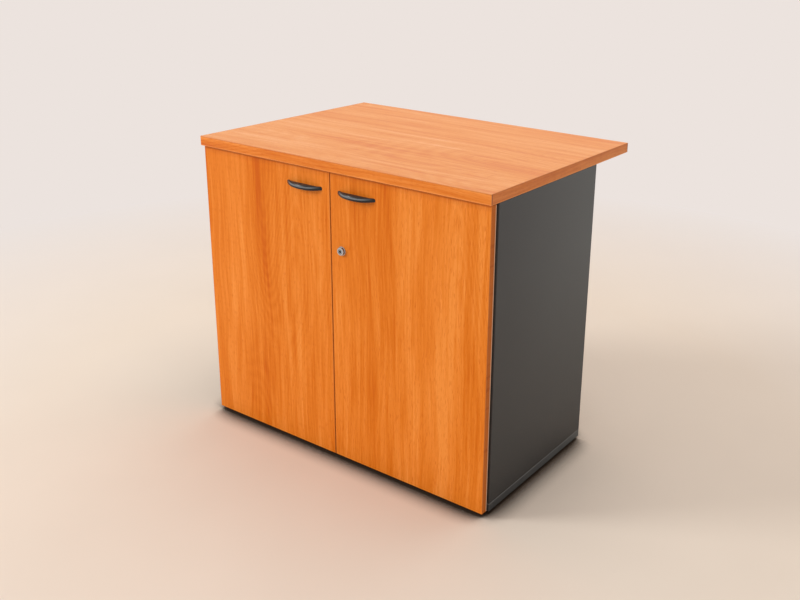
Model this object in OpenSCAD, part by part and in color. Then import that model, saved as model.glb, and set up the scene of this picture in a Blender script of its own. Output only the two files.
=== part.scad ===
// Two-door filing cabinet: a board carcass on glides, under a deep top that reaches past its back.
// Sizes are in millimetres. The front faces -Y, X runs along the front and Z is 0 on the floor.
// The origin is on the floor, below the middle of the overall width and depth.

/* [Carcass] */
// Width across the side panels, and width of the top
cabinet_w = 830; // [760:10:1000]
// Height from the floor to the upper face of the top
cabinet_h = 730; // [690:5:900]
// Depth of the side panels and of the bottom panel
side_d = 410; // [380:5:500]
// Thickness of the side panels
side_t = 18; // [16:1:20]
// Thickness of the bottom panel
bottom_t = 18; // [16:1:22]
// Thickness of the back panel
back_t = 16; // [12:1:18]
// How far the back panel sits in front of the rear edges
back_inset = 2; // [0:0.5:6]
// Width of the two rails that lie flat under the top
rail_w = 80; // [60:5:100]
// Thickness of the rails
rail_t = 18; // [16:1:20]

/* [Top] */
// Depth of the top, front to back
top_d = 600; // [560:5:700]
// Thickness of the top
top_t = 23; // [22:1:30]
// How far the top reaches in front of the doors
top_lip = 8; // [4:1:16]
// Thickness of the edging strip round the top
top_edging_t = 2; // [1.5:0.5:3]
// Rounding of the arrises of the top's edging
top_arris_r = 1.2; // [0.5:0.1:1.5]

/* [Doors] */
// Thickness of the doors
door_t = 18; // [17:1:20]
// Gap between the backs of the doors and the carcass
door_gap = 3; // [2.6:0.1:4]
// How far the doors stop short of the cabinet's sides
door_inset = 4; // [3:0.5:5]
// Gap between the doors and the underside of the top
door_top_gap = 3; // [2:0.5:5]
// How far the doors' lower edges stay above the carcass's underside
door_rise = 2; // [1:0.5:6]
// Gap between the two doors
seam_gap = 2.5; // [2:0.5:4]
// Sideways place of the seam between the doors, from the middle
seam_offset = -10; // [-20:1:20]
// Thickness of the doors' edging strips
door_edging_t = 1; // [0.8:0.1:2]
// Rounding of the arrises of the doors, side panels, bottom panel and shelf
arris_r = 0.7; // [0.3:0.1:0.7]

/* [Handles] */
// Length of a pull
handle_l = 106; // [100:1:120]
// How far a pull stands out from its door
handle_out = 18; // [16:1:24]
// Height of a pull
handle_h = 11; // [9:0.5:13]
// How much lower a pull's ends are than its middle
handle_taper = 3.5; // [1:0.5:4]
// Wall thickness of a pull's top
handle_wall = 2.4; // [2:0.1:3]
// Thickness of the pulls' rounded front lip
handle_lip_t = 3.6; // [3.2:0.1:5]
// Distance between a pull's two screws
handle_screw_pitch = 64; // [60:1:68]
// Distance from the seam to the near end of a pull
handle_seam_gap = 21.5; // [15:0.5:40]
// Distance from a door's upper edge down to the middle of its pull
handle_drop = 42.5; // [30:0.5:60]

/* [Lock] */
// Distance from the seam to the lock's axis
lock_seam_gap = 30.5; // [26:0.5:36]
// Height of the lock's axis above the floor
lock_z = 530; // [480:1:560]
// Diameter of the lock's head
lock_head_d = 18.5; // [18:0.5:22]
// How far the lock's head stands out from the door
lock_out = 6.5; // [4:0.5:10]
// Diameter of the lock's threaded barrel
lock_barrel_d = 16; // [15:0.5:17]
// Diameter of the plug that the key turns
plug_d = 11; // [10:0.5:12]
// Length of the cam from the lock's axis to its tip
cam_l = 46; // [42:1:50]
// Thickness of the cam
cam_t = 2; // [1.5:0.1:2.5]

/* [Hinges] */
// Distance of each hinge's middle from the door's end
hinge_end = 100; // [80:1:130]
// Diameter of the hinge cup
cup_d = 35; // [35:1:36]
// Depth of the hinge cup in the door
cup_depth = 12; // [11.8:0.1:13]
// Wall thickness of the cup
cup_wall = 0.8; // [0.6:0.1:1]
// Depth of the hinge axis behind the door's rear face
axis_deep = 8; // [7.5:0.1:8.2]
// Diameter of the hinge pin
hinge_pin_d = 3; // [2.6:0.1:3.2]
// Radius of the arm's knuckle round the pin
knuckle_r = 2.4; // [2.3:0.1:2.6]
// Thickness of the arm's bent steel
arm_t = 2.5; // [2:0.1:2.8]
// Width of the arm's channel on its plate
arm_w = 12; // [10:1:14]
// Width of the arm's neck and knuckle in the cup
neck_w = 8; // [6:0.5:9]
// Thickness of the mounting plate
plate_t = 3; // [2.5:0.1:3.5]

/* [Shelf] */
// Thickness of the shelf
shelf_t = 18; // [16:1:25]
// How far the shelf's front edge stays behind the carcass's front edges
shelf_setback = 22; // [16:1:28]
// Number of shelf-pin holes in a row
pin_rows = 11; // [8:1:12]
// Which hole of the rows holds the shelf, counted from 0 at the bottom
shelf_row = 5; // [2:1:7]
// Height of the lowest shelf-pin hole above the bottom panel
first_pin_h = 167; // [120:1:190]

/* [Feet] */
// Height of the glides under the carcass
foot_h = 8; // [6:0.5:14]
// Diameter of the glides
foot_d = 30; // [22:1:36]
// Distance from the carcass's side to the middle of a glide
foot_side_inset = 20; // [18:1:40]
// Distance from the carcass's front or back to the middle of a glide
foot_end_inset = 62; // [24:1:90]

/* [Catches] */
// Diameter of the sliding bolt
bolt_d = 6; // [5:0.5:7]
// Travel of the sliding bolt
bolt_travel = 12; // [10:1:14]
// Distance from the seam to the axis of the sliding bolt
bolt_seam_gap = 28; // [24:1:40]
// Distance of the bolt's axis behind the door
bolt_back = 12; // [11:0.5:14]

/* [Hidden] */
$fn = 48;

// Colours
beech = "#e5853f";
beech_top = "#ef9f63";
graphite = "#3f3e3d";
black_plastic = "#1d1d1f";
zinc = "#b9bcc0";
brass = "#c9a24e";
clear_rubber = "#dfe3e4";

// Fits and small common sizes
cut = 1;                 // how far a cutting solid runs past what it cuts
run_gap = 0.05;          // radial clearance of a pin or plug that turns or slides
slip_gap = 0.1;          // radial clearance of a fitting in its bore
swing_gap = 0.37;        // least clearance of a swinging door's edge from the side panel
shelf_gap = 1;           // clearance of the shelf from the panels round it
touch_gap = 0.2;         // clearance of a buffer in front of the carcass
screw_d = 4;             // shank of the machine screws and chipboard screws
screw_head_d = 8;        // head of the same screws
screw_head_t = 2.4;      // thickness of those heads
system_d = 5;            // diameter of the shelf-pin and hinge-plate holes
system_setback = 37;     // distance of a hole row from a panel's edge
system_pitch = 32;       // pitch of those holes
system_deep = 12;        // depth of those holes

// Heights
top_z = cabinet_h - top_t;
deck_z = foot_h + bottom_t;
door_bottom_z = foot_h + door_rise;
door_top_z = top_z - door_top_gap;
door_h = door_top_z - door_bottom_z;
side_h = top_z - deck_z;

// Planes from front to back
front_reach = max(handle_out, top_lip);
front_y = front_reach - (front_reach + top_d - top_lip) / 2;
door_back_y = front_y + door_t;
carcass_y = door_back_y + door_gap;
rear_y = carcass_y + side_d;
back_y = rear_y - back_inset - back_t;
top_y = front_y - top_lip;

// Planes from side to side
inner_x = cabinet_w / 2 - side_t;
door_x = cabinet_w / 2 - door_inset;
seam_left_x = seam_offset - seam_gap / 2;
seam_right_x = seam_offset + seam_gap / 2;

// A board from its low corner and its size
module board(corner, size) {
  translate(corner) cube(size);
}

// A rectangle from the origin, w by h, with its corners rounded
module soft_rect(w, h, r) {
  translate([r, 0]) square([w - 2 * r, h]);
  translate([0, r]) square([w, h - 2 * r]);
  for (x = [r, w - r])
    for (y = [r, h - r]) translate([x, y]) circle(r);
}

// A board whose arrises along X, Y and Z are rounded
module soft_board(corner, size, r) {
  translate(corner) intersection() {
    rotate([90, 0, 90]) linear_extrude(size[0]) soft_rect(size[1], size[2], r);
    translate([0, size[1], 0]) rotate([90, 0, 0]) linear_extrude(size[1]) soft_rect(size[0], size[2], r);
    linear_extrude(size[2]) soft_rect(size[0], size[1], r);
  }
}

// A rod along X, Y or Z from a point
module rod_x(at, d, l) {
  translate(at) rotate([0, 90, 0]) cylinder(d = d, h = l);
}

module rod_y(at, d, l) {
  translate(at) rotate([-90, 0, 0]) cylinder(d = d, h = l);
}

module rod_z(at, d, l) {
  translate(at) cylinder(d = d, h = l);
}

// A copy on each side of the cabinet, the right one mirrored
module both_sides() {
  children();
  mirror([1, 0, 0]) children();
}

// Cam fittings: a disc in the side panel's inner face draws a bolt from the panel it meets
cam_disc_d = 15;
cam_disc_deep = 12.5;
cam_reach = 34;          // distance of a disc's middle from the panel's end
cam_bolt_d = 7;
cam_bolt_sunk = 11;      // length of a bolt that is screwed into the other panel
cam_axis_x = inner_x + side_t / 2;
front_rail_y = carcass_y;
rear_rail_y = back_y - rail_w;
cam_ys = [front_rail_y + rail_w / 2, rear_rail_y + rail_w / 2];

module cam_discs(d) {
  for (y = cam_ys)
    for (z = [deck_z + cam_reach, top_z - cam_reach])
      rod_x([inner_x, y, z], d, cam_disc_deep);
}

module cam_rods(d, sunk) {
  for (y = cam_ys) {
    rod_z([cam_axis_x, y, deck_z - sunk], d, sunk + cam_reach);
    rod_z([cam_axis_x, y, top_z - cam_reach], d, sunk + cam_reach);
  }
}

module cam_fittings() {
  color(zinc) both_sides() difference() {
    cam_discs(cam_disc_d - 2 * slip_gap);
    cam_rods(cam_bolt_d + 2 * slip_gap, 0);
    cam_driver_slots();
  }
}

cam_slot_w = 1.6;
cam_slot_l = 9;
cam_slot_deep = 3;

// Cross slots for a driver in the faces of the cam discs
module cam_driver_slots() {
  for (y = cam_ys)
    for (z = [deck_z + cam_reach, top_z - cam_reach])
      for (turn = [45, 135])
        translate([inner_x - cut, y, z]) rotate([turn, 0, 0])
          board([0, -cam_slot_l / 2, -cam_slot_w / 2], [cam_slot_deep + cut, cam_slot_l, cam_slot_w]);
}

module cam_bolts() {
  color(zinc) both_sides() cam_rods(cam_bolt_d - 2 * slip_gap, cam_bolt_sunk - slip_gap);
}

// Wooden dowels between the side panels and the rails and back panel
dowel_d = 8;
dowel_in_side = 12;
dowel_in_rail = 22;
dowel_inset = 20;        // distance of a dowel from a rail's edge
back_dowel_end = 80;     // distance of the back panel's end dowels from its edges
back_dowel_zs = [deck_z + back_dowel_end, deck_z + side_h / 2, top_z - back_dowel_end];

module dowel_rods(d, slack) {
  l = dowel_in_side + dowel_in_rail + 2 * slack;
  x = inner_x - dowel_in_rail - slack;
  for (y = [front_rail_y, rear_rail_y])
    for (end = [dowel_inset, rail_w - dowel_inset])
      rod_x([x, y + end, top_z - rail_t / 2], d, l);
  for (z = back_dowel_zs) rod_x([x, back_y + back_t / 2, z], d, l);
}

module dowels() {
  color("#d9b98a") both_sides() dowel_rods(dowel_d - 2 * slip_gap, 0);
}

// Top board and the edging that wraps it
module top_panel() {
  color(beech_top) difference() {
    board([-cabinet_w / 2 + top_edging_t, top_y + top_edging_t, top_z],
          [cabinet_w - 2 * top_edging_t, top_d - 2 * top_edging_t, top_t]);
    both_sides() cam_rods(cam_bolt_d, cam_bolt_sunk);
  }
}

// The four edging strips are one ring: the whole top without the board that it wraps
module top_edging() {
  color(beech_top) difference() {
    soft_board([-cabinet_w / 2, top_y, top_z], [cabinet_w, top_d, top_t], top_arris_r);
    board([-cabinet_w / 2 + top_edging_t, top_y + top_edging_t, top_z - cut],
          [cabinet_w - 2 * top_edging_t, top_d - 2 * top_edging_t, top_t + 2 * cut]);
  }
}

// Shelf-pin rows, one at the front and one at the back of each side panel
pin_row_ys = [carcass_y + system_setback, rear_y - system_setback - back_t - back_inset];
pin_z0 = deck_z + first_pin_h;
hinge_zs = [door_bottom_z + hinge_end, door_top_z - hinge_end];
hinge_hole_y = carcass_y + system_setback;

module system_holes() {
  for (y = pin_row_ys)
    for (i = [0 : pin_rows - 1])
      rod_x([inner_x - cut, y, pin_z0 + i * system_pitch], system_d, system_deep + cut);
  for (z = hinge_zs)
    for (s = [-1, 1])
      rod_x([inner_x - cut, hinge_hole_y, z + s * system_pitch / 2], system_d, system_deep + cut);
}

module side_panel() {
  difference() {
    soft_board([inner_x, carcass_y, deck_z], [side_t, side_d, side_h], arris_r);
    system_holes();
    cam_discs(cam_disc_d);
    cam_rods(cam_bolt_d, 0);
    dowel_rods(dowel_d, slip_gap);
  }
}

module right_side_panel() {
  color(graphite) side_panel();
}

module left_side_panel() {
  color(graphite) mirror([1, 0, 0]) side_panel();
}

foot_xs = [-cabinet_w / 2 + foot_side_inset, cabinet_w / 2 - foot_side_inset];
foot_ys = [carcass_y + foot_end_inset, rear_y - foot_end_inset];
foot_stem_d = 8;
foot_stem_l = 12;

module bottom_panel() {
  color(graphite) difference() {
    soft_board([-cabinet_w / 2, carcass_y, foot_h], [cabinet_w, side_d, bottom_t], arris_r);
    both_sides() cam_rods(cam_bolt_d, cam_bolt_sunk);
    for (x = foot_xs)
      for (y = foot_ys) rod_z([x, y, foot_h - cut], foot_stem_d, foot_stem_l + slip_gap + cut);
  }
}

module back_panel() {
  color(graphite) difference() {
    board([-inner_x, back_y, deck_z], [2 * inner_x, back_t, side_h]);
    both_sides() dowel_rods(dowel_d, slip_gap);
  }
}

bolt_x = seam_left_x - bolt_seam_gap;
bolt_y = door_back_y + bolt_back;
bush_wall = 1;
bush_play = 2.2;         // radial play of the bolt in its bush, so a sagging door still bolts
bush_bore_d = bolt_d + 2 * bush_play;
bush_d = bush_bore_d + 2 * bush_wall;

module front_rail() {
  color(graphite) difference() {
    board([-inner_x, front_rail_y, top_z - rail_t], [2 * inner_x, rail_w, rail_t]);
    both_sides() dowel_rods(dowel_d, slip_gap);
    rod_z([bolt_x, bolt_y, top_z - rail_t - cut], bush_d, rail_t + 2 * cut);
  }
}

module rear_rail() {
  color(graphite) difference() {
    board([-inner_x, rear_rail_y, top_z - rail_t], [2 * inner_x, rail_w, rail_t]);
    both_sides() dowel_rods(dowel_d, slip_gap);
  }
}

// Brass bush in the front rail that the sliding bolt enters
module bolt_bush() {
  color(brass) difference() {
    rod_z([bolt_x, bolt_y, top_z - rail_t], bush_d, rail_t);
    rod_z([bolt_x, bolt_y, top_z - rail_t - cut], bush_bore_d, rail_t + 2 * cut);
  }
}

// Shelf and its pins
pin_z = pin_z0 + shelf_row * system_pitch;
shelf_z = pin_z + system_d / 2;
pin_nose_l = 8;
pin_nose_w = 10;
pin_collar_d = 9;
pin_collar_t = 1.2;

module shelf() {
  color(graphite)
    soft_board([-inner_x + shelf_gap, carcass_y + shelf_setback, shelf_z],
               [2 * (inner_x - shelf_gap), back_y - shelf_gap - carcass_y - shelf_setback, shelf_t],
               arris_r);
}

module shelf_pin(y) {
  rod_x([inner_x - pin_collar_t, y, pin_z], system_d - 2 * slip_gap, system_deep - 1 + pin_collar_t);
  intersection() {
    union() {
      rod_x([inner_x - pin_collar_t, y, pin_z], pin_collar_d, pin_collar_t);
      board([inner_x - pin_nose_l, y - pin_nose_w / 2, pin_z - system_d / 2 + slip_gap],
            [pin_nose_l, pin_nose_w, system_d - slip_gap]);
    }
    board([inner_x - pin_nose_l, y - pin_nose_w, pin_z - pin_nose_w],
          [pin_nose_l, 2 * pin_nose_w, pin_nose_w + system_d / 2]);
  }
}

module shelf_pins() {
  color(zinc) both_sides() for (y = pin_row_ys) shelf_pin(y);
}

// Turned glide with a stem in the bottom panel
foot_chamfer = 2;
foot_shoulder = 1;
stem_r = foot_stem_d / 2 - slip_gap;
stem_top = foot_h + foot_stem_l;

module glide() {
  rotate_extrude() polygon([
    [0, 0], [foot_d / 2 - foot_chamfer, 0], [foot_d / 2, foot_chamfer],
    [foot_d / 2, foot_h - foot_chamfer], [foot_d / 2 - foot_shoulder, foot_h],
    [stem_r, foot_h], [stem_r, stem_top - foot_shoulder],
    [stem_r - foot_shoulder, stem_top], [0, stem_top]
  ]);
}

module glides() {
  color(black_plastic)
    for (x = foot_xs)
      for (y = foot_ys) translate([x, y, 0]) glide();
}

// Hinge, in a frame at the outer rear corner of the door: X goes inwards, Y goes back
axis_in = sqrt(pow(axis_deep + door_gap - swing_gap, 2) - pow(axis_deep, 2));
cup_clear = 0.3;                         // clearance of the knuckle from the cup's wall
cup_x = axis_in - knuckle_r - cup_clear + sqrt(pow(cup_d / 2 - cup_wall, 2) - pow(neck_w / 2, 2));
wall_x = side_t - door_inset;            // inner face of the side panel
neck_off = 3;                            // distance of the neck's middle from the plate
neck_x = wall_x + plate_t + neck_off;      // middle of the arm's neck
arm_h = 6;                               // depth of the arm's channel over the plate
arm_start = 3;                           // distance of the channel from the carcass edge
arm_l = 55;
plate_start = 20;                        // distance of the plate from the carcass edge
plate_l = 34;
arm_front = door_gap + arm_start;
arm_rear = arm_front + arm_l;
plate_front = door_gap + plate_start;
plate_rear = plate_front + plate_l;
plate_rib_w = 16;
plate_wing_d = 14;
plate_wing_l = 48;
hole_y = door_gap + system_setback;
arm_screw_off = 10;                      // distance of the arm's screw from the plate's holes
arm_screw_y = hole_y + arm_screw_off;
cup_flange_t = 1;
cup_flange_w = 17;
cup_flange_l = 60;
cup_screw_pitch = 48;
cup_screw_l = 11;

module hinge_cup() {
  difference() {
    union() {
      rod_y([cup_x, -cup_depth, 0], cup_d, cup_depth + cup_flange_t);
      board([cup_x - cup_flange_w / 2, 0, -cup_flange_l / 2 + cup_flange_w / 2],
            [cup_flange_w, cup_flange_t, cup_flange_l - cup_flange_w]);
      for (s = [-1, 1])
        rod_y([cup_x, 0, s * (cup_flange_l - cup_flange_w) / 2], cup_flange_w, cup_flange_t);
    }
    rod_y([cup_x, cup_wall - cup_depth, 0], cup_d - 2 * cup_wall, cup_depth + cup_flange_t);
    for (s = [-1, 1])
      rod_y([cup_x, -cut, s * cup_screw_pitch / 2], screw_d + 2 * slip_gap, cup_flange_t + 2 * cut);
    hinge_pin();
  }
}

// Half-length of the pin, which ends inside the cup's round wall
pin_half = sqrt(pow(cup_d / 2 - slip_gap, 2) - pow(cup_x - axis_in + hinge_pin_d / 2, 2));

module hinge_pin() {
  rod_z([axis_in, -axis_deep, -pin_half], hinge_pin_d, 2 * pin_half);
}

module cup_screws() {
  for (s = [-1, 1]) {
    rod_y([cup_x, -cup_screw_l, s * cup_screw_pitch / 2], screw_d, cup_screw_l + cup_flange_t);
    rod_y([cup_x, cup_flange_t, s * cup_screw_pitch / 2], screw_head_d, screw_head_t);
  }
}

// Bent arm: a knuckle on the pin, a foot and a neck out of the cup, and a channel on the plate
module hinge_arm() {
  elbow = [neck_x, -axis_deep];
  difference() {
    union() {
      translate([0, 0, -neck_w / 2]) linear_extrude(neck_w) union() {
        translate([axis_in, -axis_deep]) circle(knuckle_r);
        translate([axis_in, -axis_deep - arm_t / 2]) square([elbow[0] - axis_in, arm_t]);
        translate([elbow[0] - arm_t / 2, elbow[1]]) square([arm_t, axis_deep + arm_front + 1]);
        translate(elbow) circle(arm_t / 2);
      }
      board([wall_x + plate_t, arm_front, -arm_w / 2], [arm_h, arm_rear - arm_front, arm_w]);
    }
    rod_z([axis_in, -axis_deep, -arm_w / 2 - cut], hinge_pin_d + 2 * run_gap, arm_w + 2 * cut);
    board([wall_x + plate_t - cut, arm_front + arm_t, -arm_w / 2 + arm_t / 2],
          [arm_h - arm_t / 2 + cut, arm_rear - arm_front, arm_w - arm_t]);
    rod_x([wall_x, arm_screw_y, 0], screw_d + 2 * slip_gap, arm_h + plate_t + cut);
  }
}

// Mounting plate: a rib under the arm and two wings with the panel screws
module hinge_plate() {
  difference() {
    union() {
      board([wall_x, plate_front, -plate_rib_w / 2], [plate_t, plate_rear - plate_front, plate_rib_w]);
      board([wall_x, hole_y - plate_wing_d / 2, -plate_wing_l / 2 + plate_wing_d / 2],
            [plate_t - 1, plate_wing_d, plate_wing_l - plate_wing_d]);
      for (s = [-1, 1])
        rod_x([wall_x, hole_y, s * (plate_wing_l - plate_wing_d) / 2], plate_wing_d, plate_t - 1);
    }
    for (s = [-1, 1])
      rod_x([wall_x - cut, hole_y, s * system_pitch / 2], system_d, plate_t + 2 * cut);
    rod_x([wall_x - cut, arm_screw_y, 0], screw_d, plate_t + 2 * cut);
  }
}

module plate_screws() {
  for (s = [-1, 1]) {
    rod_x([wall_x - system_deep + 1, hole_y, s * system_pitch / 2], system_d - 2 * slip_gap,
          system_deep + plate_t - 2);
    rod_x([wall_x + plate_t - 1, hole_y, s * system_pitch / 2], screw_head_d, screw_head_t);
  }
  rod_x([wall_x + 0.5, arm_screw_y, 0], screw_d - 2 * slip_gap, plate_t + arm_h);
  rod_x([wall_x + plate_t + arm_h, arm_screw_y, 0], screw_head_d, screw_head_t);
}

// A copy at each hinge of the left door
module at_left_hinges() {
  for (z = hinge_zs) translate([-door_x, door_back_y, z]) children();
}

module at_right_hinges() {
  mirror([1, 0, 0]) at_left_hinges() children();
}

module left_hinge_arms() {
  color(zinc) at_left_hinges() hinge_arm();
}

module right_hinge_arms() {
  color(zinc) at_right_hinges() hinge_arm();
}

module left_hinge_plates() {
  color(zinc) at_left_hinges() hinge_plate();
}

module right_hinge_plates() {
  color(zinc) at_right_hinges() hinge_plate();
}

module hinge_plate_screws() {
  color(zinc) {
    at_left_hinges() plate_screws();
    at_right_hinges() plate_screws();
  }
}

module left_hinge_cups() {
  color(zinc) at_left_hinges() hinge_cup();
}

module right_hinge_cups() {
  color(zinc) at_right_hinges() hinge_cup();
}

module left_hinge_pins() {
  color(zinc) at_left_hinges() hinge_pin();
}

module right_hinge_pins() {
  color(zinc) at_right_hinges() hinge_pin();
}

module left_cup_screws() {
  color(zinc) at_left_hinges() cup_screws();
}

module right_cup_screws() {
  color(zinc) at_right_hinges() cup_screws();
}

// Holes for the cup and its screws in a door
module cup_bores() {
  rod_y([cup_x, -cup_depth - slip_gap, 0], cup_d + 2 * slip_gap, cup_depth + slip_gap + cut);
  for (s = [-1, 1])
    rod_y([cup_x, -cup_screw_l - slip_gap, s * cup_screw_pitch / 2], screw_d, cup_screw_l + slip_gap + cut);
}

// Pulls: a crescent cut from a turned shell, open below for the fingers
handle_z = door_top_z - handle_drop;
left_handle_x = seam_left_x - handle_seam_gap - handle_l / 2;
right_handle_x = seam_right_x + handle_seam_gap + handle_l / 2;
arc_r = (pow(handle_l / 2, 2) + pow(handle_out, 2)) / (2 * handle_out);
handle_round = 3;        // rounding of the lip's outer arrises
handle_dish = 1.4;       // how far the pull's flat top lies below its lip
handle_level = 12;       // half length of the middle part that keeps the full height
taper_rise = (pow(handle_l / 2, 2) + pow(handle_taper, 2) - pow(handle_level, 2)) / (2 * handle_taper);
taper_r = sqrt(pow(handle_level, 2) + pow(taper_rise, 2));
lug_w = 11;              // width of the solid part round each screw
handle_screw_deep = 8;

// Section of the shell from the arc's middle; the lip is at its outer end
module handle_section(solid) {
  inner_r = arc_r - handle_out - cut;
  round_r = arc_r - handle_round;
  half_h = handle_h / 2;
  plate_top = half_h - handle_dish;
  union() {
    translate([inner_r, plate_top - handle_wall]) square([round_r - inner_r, handle_wall]);
    translate([arc_r - handle_lip_t, -half_h]) square([handle_lip_t - handle_round, handle_h]);
    translate([round_r, handle_round - half_h]) square([handle_round, handle_h - 2 * handle_round]);
    translate([round_r, half_h - handle_round]) circle(handle_round);
    translate([round_r, handle_round - half_h]) circle(handle_round);
    if (solid) translate([inner_r, -half_h]) square([round_r - inner_r, half_h + plate_top]);
  }
}

module handle_arc(solid) {
  translate([0, arc_r - handle_out, 0]) rotate_extrude($fn = 96) handle_section(solid);
}

// What the taper leaves out below a pull
module taper_waste() {
  difference() {
    board([-handle_l, -2 * handle_out, -handle_h], [2 * handle_l, 4 * handle_out, handle_h]);
    rod_y([0, -3 * handle_out, taper_rise - handle_h / 2], 2 * taper_r, 6 * handle_out, $fn = 360);
  }
}

module handle() {
  difference() {
    union() {
      handle_arc(false);
      difference() {
        handle_arc(true);
        board([-handle_screw_pitch / 2 + lug_w / 2, -2 * handle_out, -handle_h],
              [handle_screw_pitch - lug_w, 4 * handle_out, 2 * handle_h]);
      }
    }
    taper_waste();
    board([-2 * arc_r, 0, -handle_h], [4 * arc_r, 4 * arc_r, 2 * handle_h]);
    for (s = [-1, 1])
      rod_y([s * handle_screw_pitch / 2, -handle_screw_deep, 0], screw_d, handle_screw_deep + cut);
  }
}

module left_handle() {
  color(black_plastic) translate([left_handle_x, front_y, handle_z]) handle();
}

module right_handle() {
  color(black_plastic) translate([right_handle_x, front_y, handle_z]) handle();
}

// Screws through a door into its pull, in the pull's frame
module handle_screws() {
  for (s = [-1, 1]) {
    rod_y([s * handle_screw_pitch / 2, -handle_screw_deep + 1, 0], screw_d - 2 * slip_gap,
          handle_screw_deep - 1 + door_t);
    rod_y([s * handle_screw_pitch / 2, door_t, 0], screw_head_d, screw_head_t);
  }
}

module handle_screw_holes() {
  for (s = [-1, 1])
    rod_y([s * handle_screw_pitch / 2, -cut, 0], screw_d, door_t + 2 * cut);
}

module left_handle_screws() {
  color(zinc) translate([left_handle_x, front_y, handle_z]) handle_screws();
}

module right_handle_screws() {
  color(zinc) translate([right_handle_x, front_y, handle_z]) handle_screws();
}

// A door between two planes of X: the board, without its edging
module door_board(x0, x1) {
  board([x0 + door_edging_t, front_y, door_bottom_z + door_edging_t],
        [x1 - x0 - 2 * door_edging_t, door_t, door_h - 2 * door_edging_t]);
}

module door_edging(x0, x1) {
  difference() {
    soft_board([x0, front_y, door_bottom_z], [x1 - x0, door_t, door_h], arris_r);
    translate([0, -cut, 0])
      board([x0 + door_edging_t, front_y, door_bottom_z + door_edging_t],
            [x1 - x0 - 2 * door_edging_t, door_t + 2 * cut, door_h - 2 * door_edging_t]);
  }
}

// Strike plate that spares the left door's edge from the cam
strike_w = 22;
strike_l = 50;
strike_t = 2.4;
strike_screw_pitch = 32;
strike_x = seam_left_x - 3 - strike_w;

module strike_plate() {
  color(zinc) difference() {
    board([strike_x, door_back_y, lock_z - strike_l / 2], [strike_w, strike_t, strike_l]);
    for (s = [-1, 1])
      rod_y([strike_x + strike_w / 2, door_back_y - cut, lock_z + s * strike_screw_pitch / 2], screw_d,
            strike_t + 2 * cut);
  }
}

// Sliding bolt on the back of the left door
housing_w = 16;
housing_h = 46;
housing_base_t = 2;
housing_base_h = 64;
bolt_rest_gap = 3;       // distance of the resting bolt below the rail
bolt_top_z = top_z - rail_t - bolt_rest_gap;
housing_top_z = bolt_top_z - 4;
bolt_l = 62;
neck_d = 4.5;            // neck between the bolt and its knob
neck_l = 6;              // from the bolt's axis to the knob
knob_d = 9;
knob_l = 6;
slot_gap = 0.4;          // clearance of the neck in its slot
housing_wall = 2;
knob_z = housing_top_z - housing_h / 2 - bolt_travel / 2;

// Slot in the housing that the knob's neck runs in
module bolt_slot() {
  w = neck_d + 2 * slot_gap;
  for (z = [knob_z, knob_z + bolt_travel]) rod_y([bolt_x, bolt_y, z], w, housing_w);
  board([bolt_x - w / 2, bolt_y, knob_z], [w, housing_w, bolt_travel]);
}

module bolt_housing() {
  color(zinc) difference() {
    union() {
      board([bolt_x - housing_w / 2, door_back_y, housing_top_z - housing_h],
            [housing_w, bolt_back + bolt_d / 2 + housing_wall, housing_h]);
      board([bolt_x - housing_w / 2, door_back_y, housing_top_z - housing_h / 2 - housing_base_h / 2],
            [housing_w, housing_base_t, housing_base_h]);
    }
    rod_z([bolt_x, bolt_y, housing_top_z - housing_h - cut], bolt_d + 2 * run_gap, housing_h + 2 * cut);
    bolt_slot();
    for (s = [-1, 1])
      rod_y([bolt_x, door_back_y - cut, housing_top_z - housing_h / 2 + s * (housing_base_h - 10) / 2],
            screw_d, housing_base_t + 2 * cut);
  }
}

module sliding_bolt() {
  color(zinc) {
    translate([bolt_x, bolt_y, bolt_top_z - bolt_l]) rotate_extrude()
      polygon([[0, 0], [bolt_d / 2, 0], [bolt_d / 2, bolt_l - 1], [bolt_d / 2 - 1, bolt_l], [0, bolt_l]]);
    rod_y([bolt_x, bolt_y, knob_z], neck_d, neck_l);
    rod_y([bolt_x, bolt_y + neck_l, knob_z], knob_d, knob_l);
  }
}

// Soft buffers on the free corners of the doors
buffer_d = 8;
buffer_t = door_gap - touch_gap;

module buffers(x) {
  color(clear_rubber)
    for (z = [deck_z - bottom_t / 2 + 2, top_z - rail_t / 2 - 2])
      rod_y([x, door_back_y, z], buffer_d, buffer_t);
}

buffer_in = 14;

module left_door_buffers() {
  buffers(seam_left_x - buffer_in);
}

module right_door_buffers() {
  buffers(seam_right_x + buffer_in);
}

module left_door_panel() {
  color(beech) difference() {
    door_board(-door_x, seam_left_x);
    at_left_hinges() cup_bores();
    translate([left_handle_x, front_y, handle_z]) handle_screw_holes();
  }
}

module left_door_edging() {
  color(beech) door_edging(-door_x, seam_left_x);
}

module right_door_panel() {
  color(beech) difference() {
    door_board(seam_right_x, door_x);
    at_right_hinges() cup_bores();
    translate([right_handle_x, front_y, handle_z]) handle_screw_holes();
    rod_y([lock_x, front_y - cut, lock_z], lock_barrel_d + 2 * slip_gap, door_t + 2 * cut);
  }
}

module right_door_edging() {
  color(beech) door_edging(seam_right_x, door_x);
}

// Cam lock in the right door; lengths along Y are from the door's front
lock_x = seam_right_x + lock_seam_gap;
lock_chamfer = 1;
collar_d = lock_head_d + 2.5;  // collar of the head, against the door
collar_t = 1.6;
collar_bevel = 0.8;
nut_t = 2.5;
nut_d = 22;
barrel_l = door_t + 3.2;
keyway_w = 3;
keyway_h = 6.5;
keyway_deep = 14;
plug_sunk = 0.4;         // how far the plug's face is behind the head's face
tail_d = 7;
cam_y = barrel_l + 0.2;
cam_w = 15;
cam_screw_d = 10;
cam_screw_t = 2.5;

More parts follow.
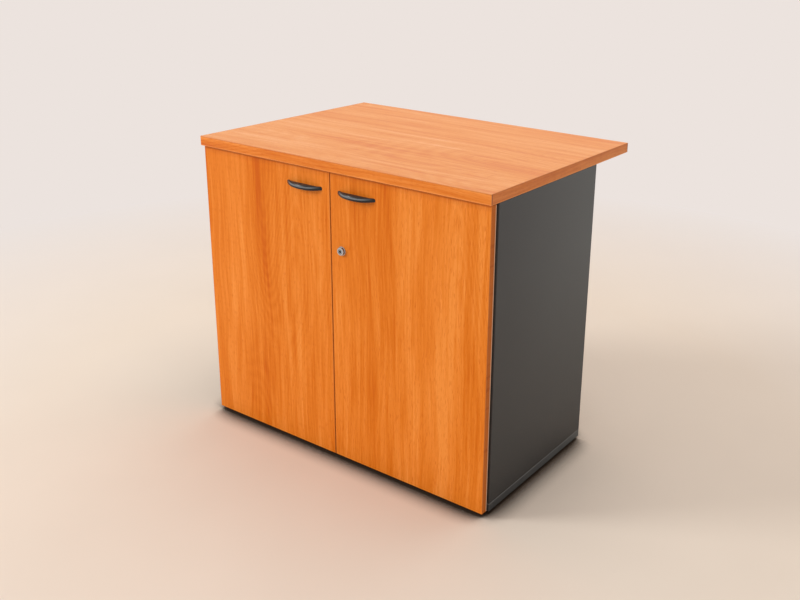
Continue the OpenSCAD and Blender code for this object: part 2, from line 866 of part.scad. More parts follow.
module lock_housing() {
  color(zinc) translate([lock_x, front_y, lock_z]) difference() {
    rotate([-90, 0, 0]) rotate_extrude() polygon([
      [0, -lock_out], [lock_head_d / 2 - lock_chamfer, -lock_out],
      [lock_head_d / 2, lock_chamfer - lock_out], [lock_head_d / 2, -collar_t],
      [collar_d / 2 - collar_bevel, -collar_t], [collar_d / 2, collar_bevel - collar_t],
      [collar_d / 2, 0], [lock_barrel_d / 2, 0], [lock_barrel_d / 2, barrel_l], [0, barrel_l]
    ]);
    rod_y([0, -lock_out - cut, 0], plug_d + 2 * run_gap, lock_out + barrel_l + 2 * cut);
  }
}

module lock_nut() {
  color(zinc) translate([lock_x, front_y + door_t, lock_z]) difference() {
    rotate([-90, 0, 0]) cylinder(d = nut_d, h = nut_t, $fn = 6);
    rod_y([0, -cut, 0], lock_barrel_d, nut_t + 2 * cut);
  }
}

module lock_plug() {
  color(zinc) translate([lock_x, front_y, lock_z]) difference() {
    union() {
      rod_y([0, plug_sunk - lock_out, 0], plug_d, lock_out - plug_sunk + barrel_l + 0.1);
      rod_y([0, barrel_l, 0], tail_d, 0.2 + cam_t);
    }
    board([-keyway_w / 2, -lock_out - cut, -keyway_h / 2], [keyway_w, keyway_deep + cut, keyway_h]);
  }
}

// The cam stands upright at rest, unlocked, and lies towards the left door when locked
module lock_cam() {
  color(zinc) translate([lock_x, front_y + cam_y, lock_z]) difference() {
    union() {
      rod_y([0, 0, 0], cam_w, cam_t);
      board([-cam_w / 2, 0, 0], [cam_w, cam_t, cam_l - cam_w / 2]);
      rod_y([0, 0, cam_l - cam_w / 2], cam_w, cam_t);
    }
    rod_y([0, -cut, 0], tail_d, cam_t + 2 * cut);
  }
}

module lock_cam_screw() {
  color(zinc) translate([lock_x, front_y + cam_y + cam_t, lock_z])
    rotate([-90, 0, 0]) difference() {
      cylinder(d = cam_screw_d, h = cam_screw_t);
      translate([-cam_screw_d, -cam_slot_w / 2, cam_screw_t - 1]) cube([2 * cam_screw_d, cam_slot_w, 2]);
    }
}

top_panel();
top_edging();
left_side_panel();
right_side_panel();
bottom_panel();
back_panel();
front_rail();
rear_rail();
shelf();
shelf_pins();
cam_fittings();
cam_bolts();
dowels();
glides();
left_hinge_arms();
right_hinge_arms();
left_hinge_plates();
right_hinge_plates();
hinge_plate_screws();
bolt_bush();
left_door_panel();
left_door_edging();
left_handle();
left_handle_screws();
left_hinge_cups();
left_hinge_pins();
left_cup_screws();
left_door_buffers();
bolt_housing();
strike_plate();
sliding_bolt();
right_door_panel();
right_door_edging();
right_handle();
right_handle_screws();
right_hinge_cups();
right_hinge_pins();
right_cup_screws();
right_door_buffers();
lock_housing();
lock_nut();
lock_plug();
lock_cam();
lock_cam_screw();
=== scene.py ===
import math

import bpy
from mathutils import Matrix, Vector


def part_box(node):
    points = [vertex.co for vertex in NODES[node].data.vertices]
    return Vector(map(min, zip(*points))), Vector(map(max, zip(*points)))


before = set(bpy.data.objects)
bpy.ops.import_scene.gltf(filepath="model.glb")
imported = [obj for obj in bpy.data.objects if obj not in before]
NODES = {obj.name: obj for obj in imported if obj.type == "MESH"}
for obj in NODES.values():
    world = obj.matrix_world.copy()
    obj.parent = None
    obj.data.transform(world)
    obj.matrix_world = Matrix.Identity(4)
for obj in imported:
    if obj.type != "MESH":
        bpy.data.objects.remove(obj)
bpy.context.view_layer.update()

# Colours, as they should look in plain light (red, green and blue of 255).
# Beech has five tones, from the darkest line of its grain to the palest.
BEECH = ((206, 97, 2), (219, 116, 17), (227, 127, 33), (234, 136, 46), (242, 149, 62))
# The top's tones carry a painted sheen: their palest are paler and bluer than the doors'.
BEECH_TOP_AND_SHEEN = ((209, 97, 3), (220, 121, 20), (228, 141, 51), (235, 157, 82), (243, 176, 122))
EDGE_TONES = ((166, 78, 16), (180, 92, 24), (192, 104, 32), (202, 114, 40), (212, 126, 52))
# A painted highlight on the strips' rounded arrises.
ARRIS_HIGHLIGHT = (246, 160, 84)
# Glue joints, and also the painted shadow under the top's lip on the doors.
GLUE_AND_LIP_SHADOW = (150, 70, 16)
# A painted highlight along the rear arris of the doors' edges.
REAR_ARRIS_HIGHLIGHT = (222, 178, 146)
# A painted sheen that greys the end faces of the top's strip.
END_SHEEN = (142, 104, 92)
GRAPHITE = (89, 95, 97)
GRAPHITE_DARK = (65, 68, 70)
# Painted shade towards the foot of the grey boards, and a painted highlight along their seam.
GRAPHITE_FOOT_SHADE = (44, 43, 43)
GRAPHITE_SEAM_HIGHLIGHT = (108, 110, 112)
BLACK = (20, 20, 21)
BLACK_WORN = (44, 46, 50)
# A painted sheen, with dust, on the pulls' tops.
PULL_TOP = (50, 49, 48)
# A painted reflection across the pulls' fronts.
PULL_REFLECTION = (116, 124, 132)
# Painted shade in the lock's gap round the plug and in its keyway.
LOCK_SHADE = (22, 22, 23)
NICKEL = (196, 192, 184)
ZINC = (158, 160, 162)
LOCK_FACE = (184, 193, 204)
LOCK_HEAD = (206, 208, 210)
# Painted shade on the side walls of the lock's parts.
LOCK_WALL_SHADE = (96, 92, 88)
BRASS = (202, 164, 96)
DOWEL = (217, 185, 138)
DOWEL_DARK = (196, 158, 108)
RUBBER = (206, 210, 210)
RUBBER_DARK = (188, 192, 190)
FLOOR = (226, 215, 202)
# The floor's painted contact shadow.
FLOOR_CONTACT_SHADOW = (60, 47, 36)
WALL = (236, 227, 222)

# Lengths on the object and the stage are in metres.

# Beech figure: lines a metre across the grain and along it, noise detail, offset of the seed
DRIFT = (7.0, 2.2, 1.0, 0.0)
BROAD = (14.0, 0.8, 1.0, 3.1)
BANDS = (52.0, 2.2, 2.0, 7.7)
STREAKS = (170.0, 7.0, 2.0, 11.3)
FINE = (480.0, 14.0, 1.0, 17.9)
RING_HILL = (7.5, 1.7, 0.0, 29.0)
RING_PATCH = (4.0, 1.3, 0.0, 41.0)
FLECKS = (900.0, 70.0, 0.0, 53.0)
# Weights in the tone of the broad figure, bands, streaks, fine lines and growth rings
FIGURE_WEIGHTS = (0.75, 0.7, 0.6, 0.25, 0.1)
TONE_PLACES = (0.05, 0.3, 0.5, 0.7, 0.95)
DRIFT_WIDTH = 0.035
GRAIN_DEPTH = 0.3       # how fast the figure changes into a board, of its rate across
STRIP_DEPTH = 0.02      # how much of its depth counts on a strip
STRIP_SHIFT = 0.31      # keeps a strip's end faces from repeating its long faces
RING_COUNT = 170.0
FLECK_LEVEL = 0.45
ARRIS_HIGHLIGHT_LEVEL = 0.8
END_SHEEN_LEVEL = 0.22

# Lines on the strips, each a distance in from the corner and a half width
GLUE_JOINT = (0.0022, 0.0014)
REAR_HIGHLIGHT_LINE = (0.0014, 0.0026)
# Top strip: the glue line under its upper arris and the painted highlight over its lower one
ARRIS_GLUE = (0.0026, 0.0006)
ARRIS_HIGHLIGHT_LINE = (0.001, 0.0034)
# Doors under the top's lip: the height of the painted shadow, and the darker painted line within
# it
LIP_ZONE = 0.013
LIP_LINE = (0.003, 0.001)

# Grey boards: the places from front to back between which painted light pales them, the height
# over which the painted shade at the foot fades, and where the painted highlight along the seam
# fades and ends
BOARD_FRONT, BOARD_BACK = -0.26, 0.14
FOOT_FADE = 0.5
SEAM_LINE = (0.0008, 0.0016)

# Pulls: the level part of the lower edge from the middle, its rise at the ends, and the
# heights over that edge at which the band of painted reflection starts, is full, fades and ends
PULL_LEVEL, PULL_TAPER = 0.012, 0.0035
PULL_BAND = (0.0049, 0.0055, 0.0078, 0.009)
PULL_FADE = (0.55, 0.94)    # where the band fades towards the ends, of the half length

# Lock: the radii at which the painted shade in the gap round the plug starts, is full, fades and
# ends, and the keyway and a disc round it, painted dark as shade
HEAD_SHADE_RING = (0.0049, 0.0052, 0.0057, 0.006)
PLUG_SHADE_RING = (0.0047, 0.005, 0.0056, 0.0059)
KEYWAY_HALF = (0.0019, 0.0033)
KEYHOLE_R = 0.003

# Stage: the reach of the contact shadow and the openness between which it fades, and the
# distance and height over which the wall's glow takes over from the floor
CONTACT_REACH = 0.085
CONTACT_FADE = (0.54, 0.82)
GLOW_FROM, GLOW_FULL = 1.0, 2.3
GLOW_HEIGHT = 0.4
MOTTLE = 3              # how much paler than FLOOR the mottling goes, of 255
WORLD_LEVEL = 0.81      # the world's strength as a light

# Lights: place, aim, diameter, watts and tint
KEY_LIGHT = ((-4.8, -4.0, 3.1), (0.0, -0.1, 0.4), 2.2, 225.0, (1.0, 0.985, 0.96))
OVERHEAD_LIGHT = ((0.2, 1.0, 3.4), (0.0, 0.0, 0.5), 2.6, 34.0, (1.0, 1.0, 1.0))

# Camera, fitted to the photograph: degrees, and pixels of its 800 by 600
CAM_AT = (1.364444, -1.778348, 1.217287)
CAM_AZIMUTH = 34.702
CAM_ELEVATION = 18.565
CAM_ROLL = 1.203
CAM_FOCAL_PX = 952.875
CAM_CENTRE_PX = (456.85, 244.98)
PHOTO_W, PHOTO_H = 800, 600
SENSOR_MM = 36.0

# A Mix node's colour sockets, which share their names with its other sockets
MIX_A, MIX_B, MIX_RESULT = 6, 7, 2


# --- Node helpers ---------------------------------------------------------------------

def linear(rgb):
    """The linear colour of a colour written in 0 to 255."""
    def one(c):
        c = c / 255
        return c / 12.92 if c <= 0.04045 else ((c + 0.055) / 1.055) ** 2.4
    return (*(one(c) for c in rgb), 1.0)


def darker(rgb, level):
    return tuple(c * level for c in rgb)


class Surface:
    """A node material under construction. Its methods take numbers or node outputs."""

    def __init__(self, name, roughness=0.5, metallic=0.0, specular=0.5):
        self.material = bpy.data.materials.new(name)
        self.material.use_nodes = True
        self.tree = self.material.node_tree
        self.tree.nodes.clear()
        self.shader = self.tree.nodes.new("ShaderNodeBsdfPrincipled")
        self.shader.inputs["Roughness"].default_value = roughness
        self.shader.inputs["Metallic"].default_value = metallic
        self.shader.inputs["Specular IOR Level"].default_value = specular
        self.out = self.tree.nodes.new("ShaderNodeOutputMaterial")
        self.tree.links.new(self.shader.outputs[0], self.out.inputs["Surface"])

    def put(self, value, socket):
        """Sets a socket from a number, a vector or another node's output."""
        if isinstance(value, bpy.types.NodeSocket):
            self.tree.links.new(value, socket)
        else:
            socket.default_value = value

    def math(self, operation, a, b=0.0, c=0.0):
        n = self.tree.nodes.new("ShaderNodeMath")
        n.operation = operation
        for value, socket in zip((a, b, c), n.inputs):
            self.put(value, socket)
        return n.outputs[0]

    def times(self, a, b):
        return self.math("MULTIPLY", a, b)

    def plus(self, a, b):
        return self.math("ADD", a, b)

    def minus(self, a, b):
        return self.math("SUBTRACT", a, b)

    def larger(self, a, b):
        return self.math("MAXIMUM", a, b)

    def size(self, a):
        return self.math("ABSOLUTE", a)

    def length(self, a, b):
        return self.math("SQRT", self.plus(self.times(a, a), self.times(b, b)))

    def coordinates(self, kind):
        coords = self.tree.nodes.new("ShaderNodeTexCoord")
        split = self.tree.nodes.new("ShaderNodeSeparateXYZ")
        self.put(coords.outputs[kind], split.inputs[0])
        return split.outputs

    def place(self):
        """The point on the object, in metres, as x, y and z."""
        return self.coordinates("Object")

    def normal(self):
        """The object's own normal, as x, y and z."""
        return self.coordinates("Normal")

    def vector(self, x, y, z):
        n = self.tree.nodes.new("ShaderNodeCombineXYZ")
        for value, socket in zip((x, y, z), n.inputs):
            self.put(value, socket)
        return n.outputs[0]

    def seeded_place(self, seed):
        x, y, z = self.place()
        return self.vector(self.plus(x, seed), y, z)

    def noise(self, vector, scale=1.0, detail=2.0, roughness=0.5):
        n = self.tree.nodes.new("ShaderNodeTexNoise")
        n.inputs["Scale"].default_value = scale
        n.inputs["Detail"].default_value = detail
        n.inputs["Roughness"].default_value = roughness
        self.put(vector, n.inputs["Vector"])
        return n.outputs["Fac"]

    def ramp(self, factor, *stops):
        """Colours along 0 to 1; stops are (place, colour of 255)."""
        n = self.tree.nodes.new("ShaderNodeValToRGB")
        while len(n.color_ramp.elements) < len(stops):
            n.color_ramp.elements.new(0.5)
        for element, (at, rgb) in zip(n.color_ramp.elements, stops):
            element.position = at
            element.color = linear(rgb)
        self.put(factor, n.inputs[0])
        return n.outputs["Color"]

    def tinted(self, shade, rgb, factor):
        """A shade, going over to a colour of 255 as factor goes to 1."""
        n = self.tree.nodes.new("ShaderNodeMix")
        n.data_type = "RGBA"
        self.put(factor, n.inputs["Factor"])
        self.put(shade, n.inputs[MIX_A])
        self.put(linear(rgb), n.inputs[MIX_B])
        return n.outputs[MIX_RESULT]

    def span(self, value, low, high, to_low, to_high):
        """Maps a value from low..high to to_low..to_high, clamped."""
        n = self.tree.nodes.new("ShaderNodeMapRange")
        for v, socket in zip((value, low, high, to_low, to_high), n.inputs):
            self.put(v, socket)
        return n.outputs[0]

    def window(self, value, start, full, fade, end):
        """0 before start, 1 from full to fade, and 0 past end."""
        return self.times(self.span(value, start, full, 0.0, 1.0),
                          self.span(value, fade, end, 1.0, 0.0))

    def near(self, value, at, full, end):
        """1 within full of a place, and 0 further than end from it."""
        return self.span(self.size(self.minus(value, at)), full, end, 1.0, 0.0)

    def bump(self, height, distance, strength):
        n = self.tree.nodes.new("ShaderNodeBump")
        n.inputs["Strength"].default_value = strength
        n.inputs["Distance"].default_value = distance
        self.put(height, n.inputs["Height"])
        self.put(n.outputs[0], self.shader.inputs["Normal"])

    def colour(self, value):
        self.put(value, self.shader.inputs["Base Color"])

    def roughness(self, value):
        self.put(value, self.shader.inputs["Roughness"])

    def metallic(self, value):
        self.put(value, self.shader.inputs["Metallic"])


def mix_of(surface, base, *parts):
    """base plus each (value, weight), where a value is centred on 0.5."""
    total = base
    for value, weight in parts:
        total = surface.math("MULTIPLY_ADD", surface.minus(value, 0.5), weight, total)
    return total


# --- Materials ------------------------------------------------------------------------

def grain_axes(s, along):
    """The place along the grain, across it and into the board, and 1 on a strip's end faces."""
    x, y, z = s.place()
    if along == "x":
        return x, y, z, 0.0
    if along == "z":
        return z, x, y, 0.0
    end = s.math("GREATER_THAN", s.size(s.normal()[0]), 0.5)
    front = s.minus(1.0, end)
    run = s.plus(s.times(x, front), s.times(y, end))
    across = s.plus(z, s.times(end, STRIP_SHIFT))
    deep = s.plus(s.times(y, front), s.times(x, end))
    return run, across, s.times(deep, STRIP_DEPTH), end


def strip_highlights_and_lines(s, shade, y, joints):
    """Paints a highlight on the rounded arrises of a strip, and draws the lines on its end faces.
    """
    nx, ny, nz = (s.size(n) for n in s.normal())
    flat = s.larger(s.larger(nx, ny), nz)
    # a painted highlight on the rounded arrises, where they catch the light
    shade = s.tinted(shade, ARRIS_HIGHLIGHT, s.span(flat, 0.9, 0.98, ARRIS_HIGHLIGHT_LEVEL, 0.0))
    ends = s.math("GREATER_THAN", nx, 0.9)
    # lines: glue joints on the top's strip, a painted highlight along the rear arris on the
    # doors' strips
    for at, wide, tint in joints:
        shade = s.tinted(shade, tint, s.times(s.near(y, at, wide * 0.6, wide), ends))
    return shade


def beech(name, along, seed, tones=BEECH, contrast=1.0, lift=0.0, gloss=0.15, joints=None,
          arrises=None, lip_z=None):
    """Beech laminate whose grain runs along "x" or "z", or along each face of a "strip".

    joints are the lines across a strip's end faces: (y, half width, colour): glue joints,
    and a painted highlight along the doors' rear arrises. arrises are the heights of a strip's
    lower and upper edge, and lip_z is the height under a lip, below which a shadow is painted."""
    s = Surface(name, roughness=0.42, specular=gloss)
    x, y, z = s.place()
    run, across, deep, end = grain_axes(s, along)

    def layer(figure, across, deep=None):
        per_m, per_m_along, detail, offset = figure
        third = seed + offset
        if deep is not None:
            third = s.math("MULTIPLY_ADD", deep, per_m * GRAIN_DEPTH, third)
        return s.noise(s.vector(s.times(across, per_m), s.times(run, per_m_along), third),
                       detail=detail)

    # a slow drift of the grain, so no line runs quite straight
    wavy = s.math("MULTIPLY_ADD", layer(DRIFT, across), DRIFT_WIDTH, across)
    broad, bands, streaks, fine = (layer(figure, wavy, deep)
                                   for figure in (BROAD, BANDS, STREAKS, FINE))
    # arched growth rings, faint and only in places
    rings = s.math("SINE", s.times(layer(RING_HILL, wavy), RING_COUNT))
    patch = s.span(layer(RING_PATCH, wavy), 0.42, 0.6, 0.0, 1.0)
    ring = s.math("MULTIPLY_ADD", s.times(rings, patch), 0.5, 0.5)
    tone = mix_of(s, 0.5 + lift, *((value, weight * contrast) for value, weight in
                                   zip((broad, bands, streaks, fine, ring), FIGURE_WEIGHTS)))
    shade = s.ramp(tone, *zip(TONE_PLACES, tones))
    # short dark flecks, as beech has
    shade = s.tinted(shade, tones[0], s.span(layer(FLECKS, across), 0.62, 0.72, 0.0, FLECK_LEVEL))
    if joints is not None:
        shade = strip_highlights_and_lines(s, shade, y, joints)
    if arrises is not None:
        low, high = arrises
        glue = s.span(z, high - ARRIS_GLUE[0], high - ARRIS_GLUE[1], 0.0, 0.4)
        # a highlight painted over the lower arris
        lower_highlight = s.span(z, low + ARRIS_HIGHLIGHT_LINE[0], low + ARRIS_HIGHLIGHT_LINE[1], 0.6, 0.0)
        # a painted sheen greys the end faces
        shade = s.tinted(shade, END_SHEEN, s.times(end, END_SHEEN_LEVEL))
        shade = s.tinted(s.tinted(shade, GLUE_AND_LIP_SHADOW, glue), ARRIS_HIGHLIGHT, lower_highlight)
    if lip_z is not None:
        # a painted shadow under the top's lip
        lip_shadow = s.span(z, lip_z - LIP_ZONE, lip_z, 0.0, 0.26)
        line = s.span(z, lip_z - LIP_LINE[0], lip_z - LIP_LINE[1], 0.0, 0.35)
        shade = s.tinted(s.tinted(shade, GLUE_AND_LIP_SHADOW, lip_shadow), GLUE_AND_LIP_SHADOW, line)
    s.colour(shade)
    s.roughness(s.span(fine, 0.2, 0.8, 0.38, 0.47))
    s.bump(s.plus(s.times(fine, 0.6), s.times(streaks, 0.4)), distance=0.00012, strength=0.35)
    return s.material


def graphite_board(name, seed, seam_z=None, foot_level=0.82):
    """Dark grey melamine board with a fine pearl grain, and painted light that pales it to the
    back.

    With seam_z, painted shade also darkens it by foot_level towards that height, and a
    highlight is painted on the arrises that meet there."""
    s = Surface(name, roughness=0.5, specular=0.4)
    x, y, z = s.place()
    at = s.seeded_place(seed)
    cloud = s.noise(at, scale=3.0)
    pearl = s.noise(at, scale=900.0, roughness=0.6)
    grit = s.noise(at, scale=2600.0, detail=1.0)
    # painted light pales the board towards the back
    tone = mix_of(s, s.span(y, BOARD_FRONT, BOARD_BACK, 0.1, 0.9),
                  (cloud, 0.25), (pearl, 0.8), (grit, 0.5))
    shade = s.ramp(tone, (0.1, GRAPHITE_DARK), (0.9, GRAPHITE))
    if seam_z is not None:
        # painted shade towards the foot, and a painted highlight along the seam
        foot_shade = s.span(z, seam_z, seam_z + FOOT_FADE, foot_level, 0.0)
        shade = s.tinted(shade, GRAPHITE_FOOT_SHADE, foot_shade)
        shade = s.tinted(shade, GRAPHITE_SEAM_HIGHLIGHT, s.near(z, seam_z, *SEAM_LINE))
    s.colour(shade)
    s.roughness(s.span(pearl, 0.3, 0.7, 0.44, 0.56))
    s.bump(pearl, distance=0.00015, strength=0.25)
    return s.material


def glide_plastic():
    """Moulded plastic with a fine spark-eroded grain, paler where it is scuffed."""
    s = Surface("black_plastic")
    at = s.seeded_place(3.0)
    scuffed = s.span(s.noise(at, scale=45.0), 0.4, 0.75, 0.0, 1.0)
    grain = s.noise(at, scale=2200.0, roughness=0.6)
    s.colour(s.tinted(linear(BLACK), BLACK_WORN, s.times(scuffed, 0.6)))
    s.roughness(s.span(mix_of(s, 0.5, (scuffed, -0.5), (grain, 0.6)), 0.0, 1.0, 0.38, 0.54))
    s.bump(grain, distance=0.00008, strength=0.3)
    return s.material


def pull_plastic(node):
    """Black moulding, dulled by dust with a painted sheen on top, and a painted reflection across
    its front.

    The band of painted reflection follows the lower edge and fades towards the pull's ends."""
    s = Surface("black_" + node, specular=0.45)
    x, y, z = s.place()
    low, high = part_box(node)
    at = s.vector(x, y, z)
    grain = s.noise(at, scale=2200.0, roughness=0.6)
    smear = s.span(s.noise(at, scale=60.0), 0.3, 0.7, 0.8, 1.0)
    # height over the lower edge, which rises towards the pull's ends
    half = (high.x - low.x) / 2
    out = s.size(s.minus(x, low.x + half))
    rise = s.math("POWER", s.span(out, PULL_LEVEL, half, 0.0, 1.0), 2.0)
    height = s.minus(s.minus(z, low.z), s.times(rise, PULL_TAPER))
    ends = s.span(out, half * PULL_FADE[0], half * PULL_FADE[1], 1.0, 0.0)
    # a painted reflection in a band across the front
    band = s.times(s.times(s.window(height, *PULL_BAND), smear), ends)
    # a painted sheen, with dust, on the upward faces
    dust_and_sheen = s.times(s.span(s.normal()[2], 0.6, 0.9, 0.0, 1.0), smear)
    s.colour(s.tinted(s.tinted(linear(BLACK), PULL_TOP, dust_and_sheen), PULL_REFLECTION, band))
    s.roughness(s.plus(s.span(dust_and_sheen, 0.0, 1.0, 0.25, 0.6), s.span(grain, 0.3, 0.7, 0.0, 0.06)))
    s.bump(grain, distance=0.00006, strength=0.25)
    return s.material


def lock_metal(name, tint, roughness, ring, keyway=False):
    """Plated and turned lock part, with painted shade in a ring and, on the plug, in its keyway
    and a disc round it.
    """
    s = Surface(name, metallic=1.0)
    low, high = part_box("lock_plug")
    axis = (low + high) / 2
    x, y, z = s.place()
    dx = s.minus(x, axis.x)
    dz = s.minus(z, axis.z)
    radius = s.length(dx, dz)
    # painted shade in the gap round the plug, and in the keyway and a disc round it
    painted_shade = s.window(radius, *ring)
    if keyway:
        slot = s.times(s.math("LESS_THAN", s.size(dx), KEYWAY_HALF[0]),
                       s.math("LESS_THAN", s.size(dz), KEYWAY_HALF[1]))
        painted_shade = s.larger(s.larger(painted_shade, slot), s.math("LESS_THAN", radius, KEYHOLE_R))
    turned = s.noise(s.vector(s.times(radius, 3000.0), 0.0, 0.0))
    plated = s.tinted(linear(tint), darker(tint, 0.85), s.span(turned, 0.35, 0.65, 0.0, 0.5))
    # painted shade on the side walls
    wall = s.span(s.size(s.normal()[1]), 0.2, 0.6, 0.75, 0.0)
    s.colour(s.tinted(s.tinted(plated, LOCK_WALL_SHADE, wall), LOCK_SHADE, painted_shade))
    s.metallic(s.minus(1.0, s.times(painted_shade, 0.9)))
    s.roughness(s.span(turned, 0.3, 0.7, roughness * 0.8, roughness * 1.2))
    s.bump(turned, distance=0.00004, strength=0.2)
    return s.material


def metal(name, tint, roughness, seed, skin_depth=0.00005, skin_strength=0.15):
    """Plated or cast metal with a fine scatter of dulled spots and a skin of its own."""
    s = Surface(name, metallic=1.0)
    at = s.seeded_place(seed)
    dull = s.noise(at, scale=160.0, detail=3.0, roughness=0.6)
    skin = s.noise(at, scale=1800.0)
    s.colour(s.tinted(linear(tint), darker(tint, 0.82), s.span(dull, 0.35, 0.75, 0.0, 0.6)))
    s.roughness(s.span(dull, 0.3, 0.7, roughness * 0.75, roughness * 1.3))
    s.bump(skin, skin_depth, skin_strength)
    return s.material


def dowel_wood():
    """Pale wood with its grain along x."""
    s = Surface("dowel_wood", roughness=0.7)
    x, y, z = s.place()
    grain = s.noise(s.vector(s.times(x, 30.0), s.times(y, 900.0), s.times(z, 900.0)))
    s.colour(s.ramp(grain, (0.3, DOWEL_DARK), (0.7, DOWEL)))
    s.bump(grain, distance=0.0002, strength=0.4)
    return s.material


def clear_rubber():
    """Soft see-through rubber with a little haze."""
    s = Surface("clear_rubber", roughness=0.35)
    haze = s.noise(s.vector(*s.place()), scale=400.0)
    s.colour(s.ramp(haze, (0.3, RUBBER), (0.7, RUBBER_DARK)))
    s.shader.inputs["Transmission Weight"].default_value = 0.35
    return s.material


def stage_paint():
    """The studio's floor and wall: plain, pale, with the faintest mottling.

    The wall and the far floor glow in the wall's colour for the camera and in reflections, and
    light nothing."""
    s = Surface("studio_paint", roughness=0.85, specular=0.2)
    x, y, z = s.place()
    mottle = s.noise(s.vector(x, y, z), scale=2.5, detail=3.0)
    plain = s.ramp(mottle, (0.3, FLOOR), (0.7, tuple(c + MOTTLE for c in FLOOR)))
    # painted contact shadow: the floor darkens where something stands close over it
    cover = s.tree.nodes.new("ShaderNodeAmbientOcclusion")
    cover.samples = 8
    cover.inputs["Distance"].default_value = CONTACT_REACH
    contact = s.span(cover.outputs["AO"], *CONTACT_FADE, 1.0, 0.0)
    s.colour(s.tinted(plain, FLOOR_CONTACT_SHADOW, contact))
    glow = s.tree.nodes.new("ShaderNodeEmission")
    glow.inputs["Color"].default_value = linear(WALL)
    rays = s.tree.nodes.new("ShaderNodeLightPath").outputs
    seen = s.larger(s.larger(rays["Is Camera Ray"], rays["Is Glossy Ray"]),
                    rays["Is Transmission Ray"])
    far = s.larger(s.span(z, 0.0, GLOW_HEIGHT, 0.0, 1.0),
                   s.span(s.length(x, y), GLOW_FROM, GLOW_FULL, 0.0, 1.0))
    mix = s.tree.nodes.new("ShaderNodeMixShader")
    s.put(s.times(seen, far), mix.inputs[0])
    s.tree.links.new(s.shader.outputs[0], mix.inputs[1])
    s.tree.links.new(glow.outputs[0], mix.inputs[2])
    s.tree.links.new(mix.outputs[0], s.out.inputs["Surface"])
    return s.material


# --- Dressing the cabinet -------------------------------------------------------------

def dress(material, *names):
    """Gives CAD nodes a material."""
    for name in names:
        slots = NODES[name].data.materials
        if len(slots) == 0:
            slots.append(material)
        for i in range(len(slots)):
            slots[i] = material


def dress_top():
    # the top's tones carry a painted sheen
    dress(beech("beech_top", "x", 2.0, BEECH_TOP_AND_SHEEN, lift=0.03, gloss=0.8), "top_panel")
    low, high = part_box("top_edging")
    inset, half_width = GLUE_JOINT
    glued = [(low.y + inset, half_width, GLUE_AND_LIP_SHADOW), (high.y - inset, half_width, GLUE_AND_LIP_SHADOW)]
    dress(beech("beech_top_strip", "strip", 5.0, contrast=1.9, lift=-0.04, gloss=0.3,
                joints=glued, arrises=(low.z, high.z)), "top_edging")


def dress_doors():
    lip_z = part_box("left_door_panel")[1].z
    dress(beech("beech_left_door", "z", 11.0, contrast=1.35, lip_z=lip_z), "left_door_panel")
    # painted light: the right door's tones are lifted paler than the left door's
    dress(beech("beech_right_door", "z", 23.5, contrast=1.35, lift=0.06, lip_z=lip_z),
          "right_door_panel")
    # a highlight painted along the rear arris of the doors' edges
    inset, half_width = REAR_HIGHLIGHT_LINE
    rear_highlights = [(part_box("right_door_edging")[1].y - inset, half_width, REAR_ARRIS_HIGHLIGHT)]
    dress(beech("beech_door_strip", "z", 31.0, EDGE_TONES, contrast=0.6, joints=rear_highlights),
          "left_door_edging", "right_door_edging")
    for pull in ("left_handle", "right_handle"):
        dress(pull_plastic(pull), pull)


def dress_carcass():
    seam_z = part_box("bottom_panel")[1].z
    dress(graphite_board("graphite_sides", 0.0, seam_z), "left_side_panel", "right_side_panel")
    dress(graphite_board("graphite_base", 8.0, seam_z, foot_level=0.2), "bottom_panel")
    dress(graphite_board("graphite_inner", 4.0), "back_panel", "front_rail", "rear_rail", "shelf")
    dress(glide_plastic(), "glides")


def dress_fittings():
    dress(metal("brass", BRASS, 0.26, 6.0), "bolt_bush")
    dress(metal("nickel", NICKEL, 0.3, 1.0), "shelf_pins", "bolt_housing",
          "left_hinge_arms", "left_hinge_cups", "left_hinge_pins", "left_hinge_plates",
          "right_hinge_arms", "right_hinge_cups", "right_hinge_pins", "right_hinge_plates")
    dress(metal("zinc", ZINC, 0.44, 2.0, skin_depth=0.00025, skin_strength=0.55),
          "cam_fittings", "cam_bolts", "strike_plate", "hinge_plate_screws",
          "left_cup_screws", "right_cup_screws", "left_handle_screws", "right_handle_screws",
          "lock_cam", "lock_cam_screw", "lock_nut", "sliding_bolt")
    dress(lock_metal("lock_head", LOCK_HEAD, 0.16, HEAD_SHADE_RING), "lock_housing")
    dress(lock_metal("lock_face", LOCK_FACE, 0.28, PLUG_SHADE_RING, keyway=True), "lock_plug")
    dress(dowel_wood(), "dowels")
    dress(clear_rubber(), "left_door_buffers", "right_door_buffers")


# --- Studio ---------------------------------------------------------------------------

def build_stage():
    """A pale floor that sweeps up into a wall behind the cabinet."""
    half_w, front, back, height, sweep = 9.0, -7.0, 3.2, 4.5, 0.9
    steps = 16
    line = [(front, 0.0), (back - sweep, 0.0)]
    for i in range(1, steps + 1):
        a = math.pi / 2 * i / steps
        line.append((back - sweep + sweep * math.sin(a), sweep - sweep * math.cos(a)))
    line.append((back, height))
    points = [(x, y, z) for (y, z) in line for x in (-half_w, half_w)]
    faces = [(2 * i, 2 * i + 1, 2 * i + 3, 2 * i + 2) for i in range(len(line) - 1)]
    mesh = bpy.data.meshes.new("studio_floor")
    mesh.from_pydata(points, [], faces)
    mesh.materials.append(stage_paint())
    for face in mesh.polygons:
        face.use_smooth = True
    floor = bpy.data.objects.new("studio_floor", mesh)
    bpy.context.scene.collection.objects.link(floor)


def area_light(name, at, aim, diameter, watts, tint):
    data = bpy.data.lights.new(name, "AREA")
    data.shape = "DISK"
    data.size = diameter
    data.energy = watts
    data.color = tint
    lamp = bpy.data.objects.new(name, data)
    lamp.location = at
    lamp.rotation_mode = "QUATERNION"
    lamp.rotation_quaternion = (Vector(aim) - Vector(at)).to_track_quat("-Z", "Y")
    bpy.context.scene.collection.objects.link(lamp)


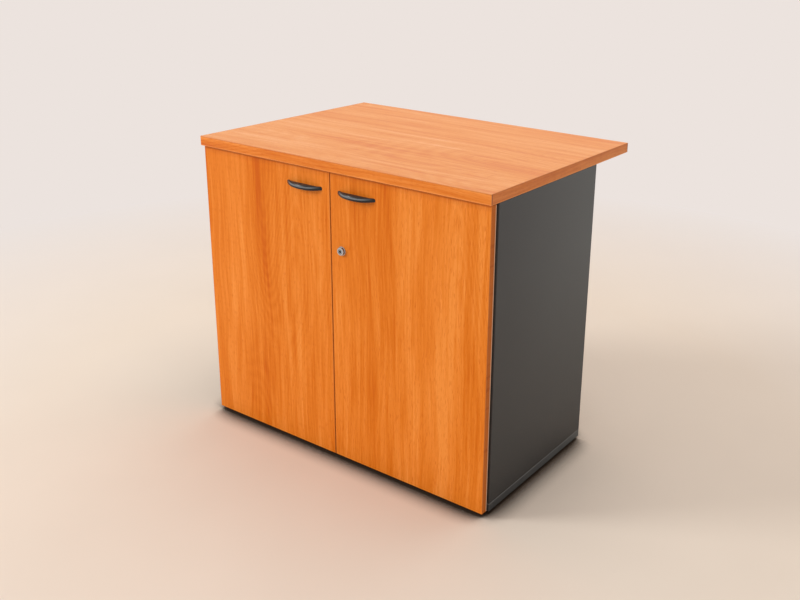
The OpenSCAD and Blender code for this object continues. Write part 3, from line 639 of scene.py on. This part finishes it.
def build_light():
    """Two lamps and a world in the wall's colour, at full strength only for the camera."""
    area_light("key", *KEY_LIGHT)
    area_light("overhead", *OVERHEAD_LIGHT)
    world = bpy.data.worlds.new("studio_world")
    world.use_nodes = True
    tree = world.node_tree
    tree.nodes.clear()
    out = tree.nodes.new("ShaderNodeOutputWorld")
    sky = tree.nodes.new("ShaderNodeBackground")
    sky.inputs["Color"].default_value = linear(WALL)
    rays = tree.nodes.new("ShaderNodeLightPath")
    level = tree.nodes.new("ShaderNodeMapRange")
    level.inputs["To Min"].default_value = WORLD_LEVEL
    level.inputs["To Max"].default_value = 1.0
    tree.links.new(rays.outputs["Is Camera Ray"], level.inputs["Value"])
    tree.links.new(level.outputs[0], sky.inputs["Strength"])
    tree.links.new(sky.outputs[0], out.inputs["Surface"])
    bpy.context.scene.world = world


def build_camera():
    """The photograph's camera; its shift sets the optical centre off the frame's middle."""
    az, el, roll = (math.radians(v) for v in (CAM_AZIMUTH, CAM_ELEVATION, CAM_ROLL))
    back = Vector((math.sin(az) * math.cos(el), -math.cos(az) * math.cos(el), math.sin(el)))
    level = (-back).cross(Vector((0, 0, 1))).normalized()
    upright = level.cross(-back)
    right = math.cos(roll) * level + math.sin(roll) * upright
    up = -math.sin(roll) * level + math.cos(roll) * upright
    data = bpy.data.cameras.new("photo_camera")
    data.sensor_width = SENSOR_MM
    data.lens = CAM_FOCAL_PX / PHOTO_W * SENSOR_MM
    data.shift_x = ((PHOTO_W - 1) / 2 - CAM_CENTRE_PX[0]) / PHOTO_W
    data.shift_y = (CAM_CENTRE_PX[1] - (PHOTO_H - 1) / 2) / PHOTO_W
    camera = bpy.data.objects.new("photo_camera", data)
    turn = Matrix((right, up, back)).transposed().to_4x4()
    camera.matrix_world = Matrix.Translation(CAM_AT) @ turn
    bpy.context.scene.collection.objects.link(camera)
    bpy.context.scene.camera = camera


# --- Scene ----------------------------------------------------------------------------

bpy.context.scene.view_settings.view_transform = "Standard"
build_camera()
dress_top()
dress_doors()
dress_carcass()
dress_fittings()
build_stage()
build_light()
